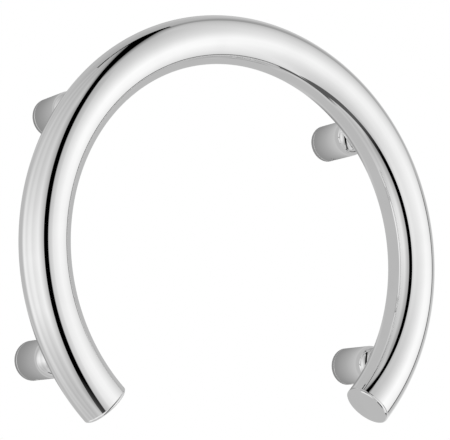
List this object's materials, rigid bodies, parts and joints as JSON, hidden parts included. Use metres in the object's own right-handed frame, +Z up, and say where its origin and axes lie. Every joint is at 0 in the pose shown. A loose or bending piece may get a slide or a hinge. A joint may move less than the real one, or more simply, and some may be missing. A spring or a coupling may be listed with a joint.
{
  "type": "wall-mounted grab ring",
  "caption": "Chrome grab ring: a round tube bent into a ring that is open at the bottom, held off the wall by posts with concealed fixing plates.",
  "frame": {"origin": "the ring's centre, projected on the wall's surface", "axes": "+Y into the wall, +Z up, +X to the right as seen from in front of the wall"},
  "size_m": [0.3118, 0.0698, 0.2655],
  "materials": {
    "polished_chrome": "mirror polished",
    "plate_chrome": "polished rim, turned spigot",
    "machined_steel": "turned",
    "screw_steel": "bright, dark in the key socket",
    "gasket_rubber": "matt"
  },
  "bodies": {
    "rail": {"rail_tube": "polished_chrome", "end_cap_left": "polished_chrome", "end_cap_right": "polished_chrome", "post_upper_left": "polished_chrome", "post_upper_right": "polished_chrome", "post_lower_left": "polished_chrome", "post_lower_right": "polished_chrome", "post_bush_upper_left": "machined_steel", "post_bush_upper_right": "machined_steel", "post_bush_lower_left": "machined_steel", "post_bush_lower_right": "machined_steel", "wall_plate_upper_left": "plate_chrome", "wall_plate_upper_right": "plate_chrome", "wall_plate_lower_left": "plate_chrome", "wall_plate_lower_right": "plate_chrome", "gasket_upper_left": "gasket_rubber", "gasket_upper_right": "gasket_rubber", "gasket_lower_left": "gasket_rubber", "gasket_lower_right": "gasket_rubber"},
    "upper_left_screw": {"set_screw_upper_left": "screw_steel"},
    "upper_right_screw": {"set_screw_upper_right": "screw_steel"},
    "lower_left_screw": {"set_screw_lower_left": "screw_steel"},
    "lower_right_screw": {"set_screw_lower_right": "screw_steel"}
  },
  "joints": [
    {"name": "upper_left_screw_travel", "type": "slide", "parent": "rail", "child": "upper_left_screw", "axis": [0, 0, -1], "range_m": [0, 0.002]},
    {"name": "upper_right_screw_travel", "type": "slide", "parent": "rail", "child": "upper_right_screw", "axis": [0, 0, -1], "range_m": [0, 0.002]},
    {"name": "lower_left_screw_travel", "type": "slide", "parent": "rail", "child": "lower_left_screw", "axis": [0, 0, -1], "range_m": [0, 0.002]},
    {"name": "lower_right_screw_travel", "type": "slide", "parent": "rail", "child": "lower_right_screw", "axis": [0, 0, -1], "range_m": [0, 0.002]}
  ]
}
